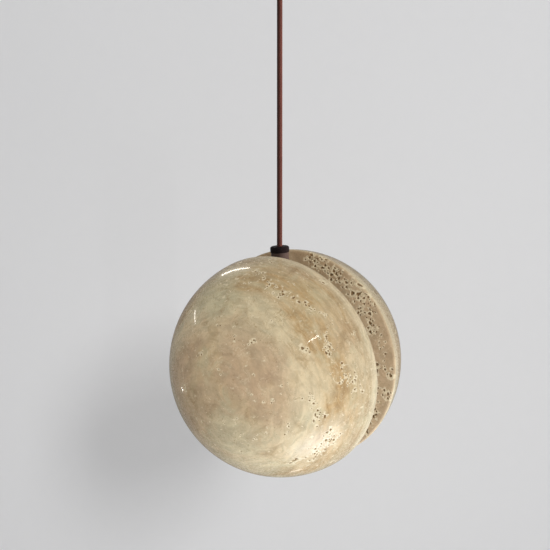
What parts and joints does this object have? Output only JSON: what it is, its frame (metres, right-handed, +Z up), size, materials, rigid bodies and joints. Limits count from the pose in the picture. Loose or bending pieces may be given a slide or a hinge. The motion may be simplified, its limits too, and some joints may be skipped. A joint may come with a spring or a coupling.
{
  "type": "pendant lamp",
  "caption": "Pendant lamp with a split stone ball whose polished halves face each other across a lit gap, hung on a slim cord from a round ceiling cup.",
  "frame": {"origin": "on the ceiling plane, midway between the bracket's holes, straight above the cord", "axes": "+Z up, -Y the way the front stone half faces, +X to the right of the front half"},
  "size_m": [0.199, 0.2189, 0.4731],
  "materials": {
    "travertine": "polished",
    "dark_bronze": "satin",
    "neck_bronze": "satin",
    "cord_fabric": "matte",
    "aluminium": "satin",
    "steel": "satin",
    "brass": "satin",
    "opal": "satin",
    "white_plastic": "matte",
    "led_board": "gloss",
    "led_lens": "gloss",
    "wire_cover": "gloss",
    "grommet_rubber": "matte"
  },
  "bodies": {
    "ceiling_fitting": {"canopy_cup": "dark_bronze", "gland_body": "dark_bronze", "ceiling_bracket": "steel", "nipple": "steel", "nipple_nuts": "steel", "terminal_block": "white_plastic", "terminal_screws": "brass", "block_screws": "steel", "earth_screw": "steel", "supply_wires": "wire_cover"},
    "swivel": {"swivel_bush": "brass", "cord_stop": "brass"},
    "cord": {"cord": "cord_fabric"},
    "lamp": {"front_stone": "travertine", "rear_stone": "travertine", "collar_cap": "dark_bronze", "neck_sleeve": "neck_bronze", "neck_screw": "steel", "cord_ferrule": "brass", "front_plate": "aluminium", "rear_plate": "aluminium", "led_drum": "aluminium", "led_strip": "led_board", "led_chips": "led_lens", "diffuser_ring": "opal", "hanger_tube": "steel", "hanger_nuts": "steel", "front_stone_screws": "steel", "rear_stone_screws": "steel", "front_drum_screws": "steel", "rear_drum_screws": "steel", "driver_screws": "steel", "front_anchors": "brass", "rear_anchors": "brass", "led_driver": "white_plastic", "wire_grommet": "grommet_rubber", "mains_wires": "wire_cover", "led_wires": "wire_cover"}
  },
  "joints": [
    {"name": "lamp_turn", "type": "hinge", "parent": "ceiling_fitting", "child": "swivel", "pos_m": [0, 0, -0.043], "axis": [0, 0, 1], "range_deg": [-175, 175]},
    {"name": "cord_swing", "type": "hinge", "parent": "swivel", "child": "cord", "pos_m": [0, 0, -0.043], "axis": [0, 1, 0], "range_deg": [-20, 20]},
    {"name": "lamp_nod", "type": "hinge", "parent": "cord", "child": "lamp", "pos_m": [0, 0, -0.2685], "axis": [1, 0, 0], "range_deg": [-20, 20]}
  ]
}
